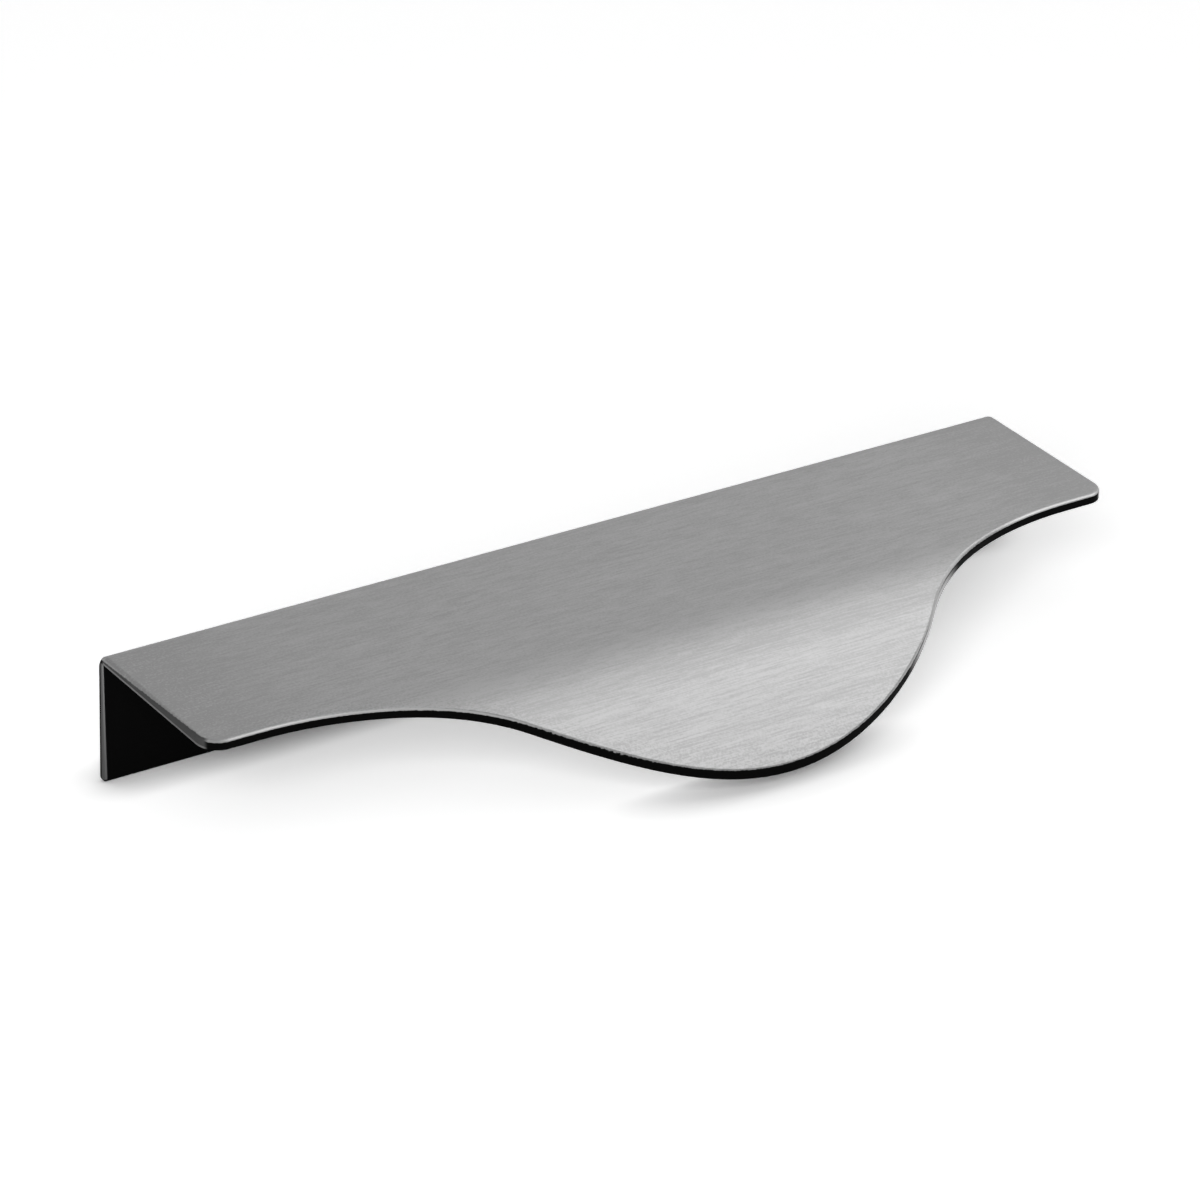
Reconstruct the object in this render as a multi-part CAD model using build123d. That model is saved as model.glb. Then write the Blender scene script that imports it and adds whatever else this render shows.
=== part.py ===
from build123d import *
from math import radians, sin
import os

# Edge pull for a cabinet door or drawer front, in millimetres.
# X runs along the pull, -Y is the room side, +Z is up.
# The origin is the middle of the screw row on the flange face that touches the back of the front.

# Profile: the section that is the same along the whole length
length = 150.0
wall = 1.4
flange_height = 19.9
bend_outer_radius = 2.5
flange_outer_round = 0.6
flat_depth = 33.5
lip_tip_angle = 43.4

# Plan: the outline that is cut straight down through the profile
end_depth = 30.2
tongue_depth = 58.5
end_width = 7.9
corner_radius = 3.2

# Cut edges
outer_edge_round = 0.5
flange_edge_round = 0.3

# Screws
screw_spacing = 96.0
screw_hole_diameter = 4.0
countersink_diameter = 6.0
countersink_angle = 90.0

# The screw row is in the middle of the flange's inner face
inner_height = flange_height - wall
top_z = inner_height / 2 + wall
underside_z = top_z - wall
bottom_z = top_z - flange_height
back_y = wall
end_y = back_y - end_depth
flat_y = back_y - flat_depth
tip_y = back_y - tongue_depth
tongue_half_width = length / 2 - end_width
lip_radius = (flat_y - tip_y) / sin(radians(lip_tip_angle))

# Section in the Y-Z plane, drawn as one closed outline and taken past both ends of the pull
# Both faces of the lip have the same radius, so the wall is even when measured straight down
# The lip is a full quarter turn here, and the plan cuts it off where it has turned to the tip's angle
outer_lip = CenterArc((flat_y, top_z - lip_radius), lip_radius, 90, 90)
inner_lip = CenterArc((flat_y, underside_z - lip_radius), lip_radius, 90, 90)
stock_length = length + 2 * wall
with BuildSketch(Plane.YZ.offset(-stock_length / 2)) as section:
    with BuildLine():
        Line((back_y, bottom_z), (back_y, top_z))
        Line((back_y, top_z), outer_lip @ 0)
        add(outer_lip)
        Line(outer_lip @ 1, inner_lip @ 1)
        add(inner_lip)
        Line(inner_lip @ 0, (0, underside_z))
        Line((0, underside_z), (0, bottom_z))
        Line((0, bottom_z), (back_y, bottom_z))
    make_face()
    fillet(section.vertices().sort_by_distance((back_y, top_z))[0], bend_outer_radius)
    fillet(section.vertices().sort_by_distance((back_y, bottom_z))[0], flange_outer_round)
stock = extrude(section.sketch, amount=stock_length)

# Plan outline: a straight back, two straight ends with rounded corners, and the tongue's bell of equal arcs,
# tangent to each other and to the ends; each hollow turns into the crown half way out
turn = (tongue_half_width / 2, (end_y + tip_y) / 2)
with BuildSketch() as plan:
    with BuildLine():
        Line((0, back_y + wall), (length / 2, back_y + wall))
        side = Line((length / 2, back_y + wall), (length / 2, end_y))
        Line(side @ 1, (tongue_half_width, end_y))
        hollow = TangentArc((tongue_half_width, end_y), turn, tangent=(-1, 0))
        TangentArc(turn, (0, tip_y), tangent=hollow % 1)
        mirror(about=Plane.YZ)
    make_face()
    fillet(plan.vertices().sort_by_distance((length / 2, end_y))[0], corner_radius)
    fillet(plan.vertices().sort_by_distance((-length / 2, end_y))[0], corner_radius)
cutter = extrude(plan.sketch, amount=lip_radius + flange_height, both=True)

# The plan is cut straight down through the stock
# The cut's edges on the outer faces, which face up or back, are rounded all the way round the pull
blank = stock & cutter
outer_faces = blank.faces().filter_by(lambda face: max(face.normal_at().Y, face.normal_at().Z) > 0.5)
outer_rim = new_edges(stock, cutter, combined=blank) & outer_faces.edges()
body = fillet(outer_rim, outer_edge_round)

# The flange's two upright edges on its inner face are eased, and the underside's cut edges stay sharp
flange_edges = body.edges().filter_by(Axis.Z).group_by(SortBy.LENGTH)[-1]
body = fillet(flange_edges, flange_edge_round)

# Two countersunk holes: the heads sit in the flange's back face
hole_radius = screw_hole_diameter / 2
head_radius = countersink_diameter / 2
head_plane = Plane(origin=(0, back_y, 0), x_dir=(1, 0, 0), z_dir=(0, 1, 0))
screw_holes = head_plane * GridLocations(screw_spacing, 1, 2, 1)
body -= [place * CounterSinkHole(hole_radius, head_radius, wall * 2, countersink_angle) for place in screw_holes]

os.makedirs("parts", exist_ok=True)
export_step(body, "parts/pull_plate.step")
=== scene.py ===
import math

import bpy
import numpy as np
from mathutils import Matrix, Vector


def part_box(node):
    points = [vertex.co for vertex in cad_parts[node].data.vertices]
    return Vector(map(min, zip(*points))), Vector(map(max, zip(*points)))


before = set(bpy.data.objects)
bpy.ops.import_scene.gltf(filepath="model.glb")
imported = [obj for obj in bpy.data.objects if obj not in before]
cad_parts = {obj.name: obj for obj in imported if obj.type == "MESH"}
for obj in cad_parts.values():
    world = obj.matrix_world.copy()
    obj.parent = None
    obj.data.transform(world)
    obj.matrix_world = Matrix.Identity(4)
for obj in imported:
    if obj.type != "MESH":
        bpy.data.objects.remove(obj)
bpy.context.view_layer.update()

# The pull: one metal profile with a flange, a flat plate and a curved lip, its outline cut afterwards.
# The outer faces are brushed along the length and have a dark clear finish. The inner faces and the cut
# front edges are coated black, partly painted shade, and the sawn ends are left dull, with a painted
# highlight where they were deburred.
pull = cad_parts["pull_plate"]
pull_low, pull_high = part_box("pull_plate")
wall = 0.0014
edge_round = 0.0005
flat_front = -0.0321
lip_radius = 0.0364
end_front = -0.0288
tongue_half_width = 0.0671


class Shade:
    """One output socket of a material's nodes. Arithmetic on it adds Math nodes."""

    def __init__(self, tree, socket=None):
        self.tree = tree
        self.socket = socket

    def add(self, kind, settings, inputs, output=0):
        """Adds a node of this kind: its settings first, then a value or a link for each of its sockets."""
        node = self.tree.nodes.new(kind)
        for name, value in settings.items():
            setattr(node, name, value)
        for name, value in inputs.items():
            if isinstance(value, Shade):
                self.tree.links.new(value.socket, node.inputs[name])
            else:
                node.inputs[name].default_value = value
        return Shade(self.tree, node.outputs[output] if node.outputs else None)

    def other(self, name):
        """Another output of the same node."""
        return Shade(self.tree, self.socket.node.outputs[name])

    def maths(self, operation, first, second=0.0):
        return self.add("ShaderNodeMath", {"operation": operation}, {0: first, 1: second})

    def __add__(self, term):
        return self.maths("ADD", self, term)

    def __radd__(self, term):
        return self.maths("ADD", term, self)

    def __sub__(self, term):
        return self.maths("SUBTRACT", self, term)

    def __rsub__(self, term):
        return self.maths("SUBTRACT", term, self)

    def __mul__(self, term):
        return self.maths("MULTIPLY", self, term)

    def __rmul__(self, term):
        return self.maths("MULTIPLY", term, self)

    def __truediv__(self, term):
        return self.maths("DIVIDE", self, term)

    def __rtruediv__(self, term):
        return self.maths("DIVIDE", term, self)

    def __pow__(self, term):
        return self.maths("POWER", self, term)

    def __rpow__(self, term):
        return self.maths("POWER", term, self)

    def __neg__(self):
        return self.maths("SUBTRACT", 0.0, self)

    def __abs__(self):
        return self.maths("ABSOLUTE", self)

    def root(self):
        return self.maths("SQRT", self)

    def above(self, term):
        """The larger of the two."""
        return self.maths("MAXIMUM", self, term)

    def step(self, start, end):
        """0 on start's side, 1 on end's side, and a smooth rise between them."""
        return self.add("ShaderNodeMapRange", {"interpolation_type": "SMOOTHSTEP"},
                        {"Value": self, "From Min": start, "From Max": end})

    def past(self, edge, soft=0.00005):
        """0 under the edge and 1 over it, softened by a twentieth of a millimetre to each side."""
        return self.step(edge - soft, edge + soft)

    def spread(self, start, end, first, last):
        """First at start, last at end, and an even rise between them."""
        return self.add("ShaderNodeMapRange", {},
                        {"Value": self, "From Min": start, "From Max": end, "To Min": first, "To Max": last})

    def blend(self, first, second):
        """The first colour where this is 0, the second where it is 1."""
        return self.add("ShaderNodeMix", {"data_type": "RGBA"}, {0: self, 6: first, 7: second}, 2)

    def distance(self, centre):
        """How far this place is from the centre."""
        return self.add("ShaderNodeVectorMath", {"operation": "DISTANCE"}, {0: self, 1: centre}, "Value")

    def grain(self, along, across, detail, roughness):
        """Noise at this place, with so many cells to a metre along the pull, and across it and upwards."""
        cells = self.add("ShaderNodeVectorMath", {"operation": "MULTIPLY"},
                         {0: self, 1: (along, across, across)})
        return self.add("ShaderNodeTexNoise", {},
                        {"Vector": cells, "Scale": 1.0, "Detail": detail, "Roughness": roughness})


def grey(level):
    return (level, level, level, 1.0)


finish = bpy.data.materials.new("brushed_metal")
finish.use_nodes = True
finish.node_tree.nodes.clear()
nodes = Shade(finish.node_tree)
place = nodes.add("ShaderNodeTexCoord", {}, {}, "Object")
along = nodes.add("ShaderNodeSeparateXYZ", {}, {"Vector": place}, "X")
across = along.other("Y")
upward = along.other("Z")
face_x = nodes.add("ShaderNodeSeparateXYZ", {}, {"Vector": place.other("Normal")}, "X")
face_y = face_x.other("Y")
face_z = face_x.other("Z")
off_middle = abs(along)
inset = pull_high.x - off_middle
below_top = pull_high.z - upward
lean = (1.0 - face_z * face_z).root()

# How far a place is in from the front outline: one crown and two hollows, all arcs of one radius,
# which turn into each other half way out
bell_radius = tongue_half_width / 2 / math.sin(2 * math.atan2(end_front - pull_low.y, tongue_half_width))
crown_centre = (0.0, pull_low.y + bell_radius, 0.0)
hollow_centre = (tongue_half_width, end_front - bell_radius, 0.0)
turn_softness = 0.00055
plan = nodes.add("ShaderNodeCombineXYZ", {}, {"X": off_middle, "Y": across})
crown_gap = bell_radius - plan.distance(crown_centre)
hollow_gap = plan.distance(hollow_centre) - bell_radius
edge_gap = crown_gap + off_middle.past(tongue_half_width / 2, turn_softness) * (hollow_gap - crown_gap)

# Brushing: scratches under half a millimetre wide and a few millimetres long, in faint wider bundles,
# with finer lines on the lip. Between them the metal is pitted, near the rim and the ends like sand,
# and less so on the right half. Along bands of the lip the tone is painted lighter or darker, a painted
# highlight that shapes the lip's reflection, and towards the ends it is painted darker, a painted shade.
# Each band has its middle, its half width and its change of tone.
scratch_strength = 2.1
fine_strength = 2.3
bundle_strength = 0.5
pit_strength = 1.2
sand_strength = 1.5
sandy_rim = 0.0045
sandy_end = 0.013
sand_on_right = 0.3
lip_highlight_bands = ((-0.0335, 0.004, 0.35), (-0.0405, 0.003, -0.2), (-0.0455, 0.004, 0.2))
end_shade = -0.4
dark_scratch = grey(0.193)
light_scratch = grey(0.253)
scratches = place.grain(along=260.0, across=2600.0, detail=3.0, roughness=0.6)
bundles = place.grain(along=18.0, across=420.0, detail=2.0, roughness=0.5)
pits = place.grain(along=2900.0, across=2900.0, detail=1.0, roughness=0.5)
fine = place.grain(along=150.0, across=4600.0, detail=2.0, roughness=0.5)
on_lip = across.spread(-0.042, -0.030, 1.0, 0.0)
sand = edge_gap.step(sandy_rim, 0.0005).above(inset.step(sandy_end, 0.002))
sand = sand * along.spread(0.005, 0.030, 1.0, sand_on_right)
tone = ((scratches - 0.5) * scratch_strength + (fine - 0.5) * on_lip * fine_strength
        + (bundles - 0.5) * bundle_strength + (pits - 0.5) * (pit_strength + sand * sand_strength))
# Painted highlight: each lip band makes the tone lighter or darker, shaping the reflection across the lip's
# curve
for middle, half_width, change in lip_highlight_bands:
    tone = tone + abs(across - middle).step(half_width, 0.0) * change
# Painted shade: the tone darkens towards both ends
tone = tone + off_middle.step(0.052, 0.076) * end_shade
plate_tone = (0.5 + tone).blend(dark_scratch, light_scratch)

# Rim: the rounded outer edge, told by how far a face has turned from the brushed face behind it.
# It is painted pale as a highlight in the hollows, on the right as far as the neck and again on the tongue's
# right side.
# Painted highlight: the pale grey given to the rim
rim_highlight_tone = grey(0.36)
neck = 0.050
neck_full = 0.001
neck_half_width = 0.009
lip_slope = ((flat_front - across) / lip_radius).above(0.0)
turned = face_z * (1.0 - lip_slope * lip_slope).root() - face_y * lip_slope
on_rim = (1.0 - turned.step(0.82, 0.96)) * (-face_y).step(0.1, 0.3)
left_rim_highlight = across.step(-0.046, -0.040) * off_middle.spread(0.060, 0.070, 1.0, 0.45) * along.step(0.01, -0.01)
right_rim_highlight = face_x.step(-0.15, 0.15) * abs(along - neck).step(neck_full, neck_half_width)
# Painted highlight: where the rim masks pick it out, the metal's colour turns pale
metal_tone = (on_rim * left_rim_highlight.above(right_rim_highlight)).blend(plate_tone, rim_highlight_tone)
metal_roughness = 0.40 + (scratches - 0.5) * 0.16
metal_relief = nodes.add("ShaderNodeBump", {}, {"Strength": 0.12, "Distance": 0.00003, "Height": scratches})
metal = nodes.add("ShaderNodeBsdfPrincipled", {},
                  {"Base Color": metal_tone, "Metallic": 1.0, "Roughness": metal_roughness,
                   "Normal": metal_relief})

# Coat and sawn ends: the coat is black, a little paler on faces that look down. Its black, far darker than
# black paint, is partly painted shade on the inner faces and the cut front edges. The sawn ends are dull
# grey, on the flange paler towards the top, with a paler line along the lower and inner edges where they were
# deburred: a painted highlight for the light those edges catch. On the flange the grey reaches round the
# inner edge, further the nearer it is to the foot, and the outer part of its end stays black. A face counts
# as an end while it looks along the pull to within about 30 degrees.
# Near-zero black: a black coat that is partly painted shade
black_coat_and_shade = 0.0015
underside_grey = 0.03
plate_grey = 0.058
edge_highlight_width = 0.0003
flange_highlight_gain = 0.55
flange_inner = -0.0002
flange_middle = 0.0006
flange_foot = 0.0195
endwards = (abs(face_x) / lean).step(0.80, 0.93) * lean.step(0.005, 0.03)
# Painted highlight: a paler line along the lower edge of the plate's sawn end
plate_edge_highlight = below_top.past(wall - edge_highlight_width) * across.spread(-0.028, 0.0, 0.08, 0.14)
plate_end = endwards * (-across).past(0.0) * (plate_grey + plate_edge_highlight)
round_edge = inset - across
reach = upward.spread(pull_low.z, 0.009, 0.00055, 0.0001)
# Painted highlight: a paler line along the inner edge of the flange's sawn end
flange_edge_highlight = (round_edge - reach).past(-edge_highlight_width) * flange_highlight_gain + 1.0
flange_grey = upward.spread(-0.009, 0.009, 0.065, 0.115) * flange_edge_highlight
flange_strip = across.past(flange_inner) * (-across).past(-flange_middle) * (reach - round_edge).past(0.0)
flange_end = flange_strip * below_top.past(wall) * (-below_top).past(-flange_foot) * flange_grey
coat_level = black_coat_and_shade + (-face_z).step(0.2, 0.6) * underside_grey + plate_end.above(flange_end)
coat = nodes.add("ShaderNodeBsdfPrincipled", {},
                 {"Base Color": coat_level.blend(grey(0.0), grey(1.0)), "Roughness": 0.5,
                  "Specular IOR Level": 0.015})

# Where the brushing ends: it goes over the outer edges, with a ragged border on the tongue's left flank,
# and at the sawn ends it goes further down the nearer it is to the bend, and more so on the right end.
# The cut face on the tongue's right flank is bare metal too.
wear_amount = 0.25
ragged_amount = 0.6
ragged_shift = 0.1
end_wear = 0.0004
right_end_reach = 0.0005
wear = place.grain(along=2200.0, across=2200.0, detail=2.0, roughness=0.6) - 0.5
ragged = (-face_x).step(0.15, 0.4) * across.spread(-0.045, -0.040, 1.0, 0.0)
outer = face_z.above(face_y) + wear * (wear_amount + ragged * ragged_amount) - ragged * ragged_shift
outer = outer.step(0.34, 0.46)
down_the_end = below_top + (lean - 1.0) * edge_round
brush_end = across.spread(-0.028, 0.0, -0.00042, 0.0008) + along.step(-0.001, 0.001) * right_end_reach
wrapped = (brush_end - down_the_end + wear * end_wear).step(-0.0001, 0.0001)
bare_flank = face_x.step(0.5, 0.62) * (-face_y).step(0.3, 0.5)
brushed = (outer + endwards * (wrapped - outer)).above(bare_flank)
surface = nodes.add("ShaderNodeMixShader", {}, {0: brushed, 1: coat, 2: metal})
nodes.add("ShaderNodeOutputMaterial", {}, {"Surface": surface})
pull.data.materials.clear()
pull.data.materials.append(finish)

# The floor: a flat sheet of matt white paper. The pull lies on it as it comes to rest by itself, on the
# flange's lower edge and nearly on the tongue's tip, so towards the front the sheet rises in its frame.
# It runs far past the picture on all sides, keeps the pull's soft shadow, and isn't seen from below.
floor_half = 4.0
floor_steps = 3
floor_foot = pull_low.z
floor_rise = 0.117


def sloping_sheet(half, foot, rise, steps):
    """Grid of points: x and y run evenly from -half to half, and z is the foot's height less rise times y."""
    run = np.linspace(-half, half, steps)
    x, y = np.meshgrid(run, run, indexing="ij")
    points = np.stack([x, y, foot - rise * y], axis=-1).reshape(-1, 3)
    corner = (np.arange(steps - 1)[:, None] * steps + np.arange(steps - 1)[None, :]).ravel()
    faces = np.stack([corner, corner + steps, corner + steps + 1, corner + 1], axis=-1)
    return points, faces


points, faces = sloping_sheet(floor_half, floor_foot, floor_rise, floor_steps)
floor_mesh = bpy.data.meshes.new("floor")
floor_mesh.from_pydata(points.tolist(), [], faces.tolist())
floor = bpy.data.objects.new("floor", floor_mesh)
bpy.context.scene.collection.objects.link(floor)

# The paper glows white where it is seen, less in the corners close to the pull, where ambient occlusion
# paints a contact shadow into the glow
paper_white = grey(0.9)
paper_glow = grey(0.68)
near_reach = 0.008
near_power = 2.7
far_reach = 0.03
far_power = 0.2
paper = bpy.data.materials.new("white_paper")
paper.use_nodes = True
paper.node_tree.nodes.clear()
nodes = Shade(paper.node_tree)
ray = nodes.add("ShaderNodeLightPath", {}, {}, "Is Camera Ray")
seen = ray.above(ray.other("Is Glossy Ray")).above(ray.other("Is Transmission Ray"))
shadow_rays = {"samples": 16}
# Painted shadow: ambient occlusion dims the floor's glow close to the pull
open_near = nodes.add("ShaderNodeAmbientOcclusion", shadow_rays, {"Distance": near_reach}, "AO")
open_far = nodes.add("ShaderNodeAmbientOcclusion", shadow_rays, {"Distance": far_reach}, "AO")
openness = open_near ** near_power * open_far ** far_power
glow_with_painted_shadow = openness.blend(grey(0.0), paper_glow)
sheet = nodes.add("ShaderNodeBsdfPrincipled", {},
                  {"Base Color": paper_white, "Roughness": 0.9, "Specular IOR Level": 0.0,
                   "Emission Color": seen.blend(grey(0.0), glow_with_painted_shadow), "Emission Strength": 1.0})
under = nodes.add("ShaderNodeNewGeometry", {}, {}, "Backfacing")
unseen = nodes.add("ShaderNodeBsdfTransparent", {}, {})
one_sided = nodes.add("ShaderNodeMixShader", {}, {0: under, 1: sheet, 2: unseen})
nodes.add("ShaderNodeOutputMaterial", {}, {"Surface": one_sided})
floor_mesh.materials.append(paper)

# The studio: an even white room, one long reflector above to the right that only the metal mirrors,
# and one softbox at the front left that only lights matt surfaces and gives the shadow its side.
aim = Vector((-0.001576, -0.011479, 0.005))
room_light = grey(0.06)
room_white = grey(1.0)

studio = bpy.data.worlds.new("studio")
studio.use_nodes = True
studio.node_tree.nodes.clear()
nodes = Shade(studio.node_tree)
ray = nodes.add("ShaderNodeLightPath", {}, {}, "Is Camera Ray")
seen = ray.above(ray.other("Is Glossy Ray")).above(ray.other("Is Transmission Ray"))
room = nodes.add("ShaderNodeBackground", {}, {"Color": seen.blend(room_light, room_white), "Strength": 1.0})
nodes.add("ShaderNodeOutputWorld", {}, {"Surface": room})
bpy.context.scene.world = studio


def softbox(name, direction, distance, width, depth, radiance):
    """A rectangular lamp in that direction from the pull, facing it. Its power is radiance x pi x area."""
    lamp = bpy.data.lights.new(name, "AREA")
    lamp.shape = "RECTANGLE"
    lamp.size = width
    lamp.size_y = depth
    lamp.energy = radiance * math.pi * width * depth
    stand = bpy.data.objects.new(name, lamp)
    towards = Vector(direction).normalized()
    turn = towards.to_track_quat("Z", "Y").to_matrix().to_4x4()
    stand.matrix_world = Matrix.Translation(aim + towards * distance) @ turn
    bpy.context.scene.collection.objects.link(stand)
    return stand


reflector = softbox("reflector", direction=(0.596, -0.03, 0.802), distance=3.0,
                    width=4.34, depth=1.28, radiance=2.9)
reflector.visible_diffuse = False
front_left = softbox("softbox_front_left", direction=(-0.568, -0.676, 0.469), distance=3.0,
                     width=1.8, depth=1.8, radiance=9.5)
front_left.visible_glossy = False

# The camera: a long lens at the photograph's angle, turned a little about its own axis.
azimuth = math.radians(34.2055)
elevation = math.radians(27.9135)
roll = math.radians(2.0019)
distance = 0.820493
forward = Vector((math.sin(azimuth) * math.cos(elevation), math.cos(azimuth) * math.cos(elevation),
                  -math.sin(elevation)))
right = forward.cross(Vector((0.0, 0.0, 1.0))).normalized()
up = right.cross(forward)
lens_right = right * math.cos(roll) + up * math.sin(roll)
lens_up = lens_right.cross(forward)
lens = bpy.data.cameras.new("camera")
lens.sensor_width = 36.0
lens.lens = 174.658
lens.clip_start = 0.05
camera = bpy.data.objects.new("camera", lens)
turn = Matrix((lens_right, lens_up, -forward)).transposed().to_4x4()
camera.matrix_world = Matrix.Translation(aim - forward * distance) @ turn
bpy.context.scene.collection.objects.link(camera)
bpy.context.scene.camera = camera
bpy.context.scene.view_settings.view_transform = "Standard"
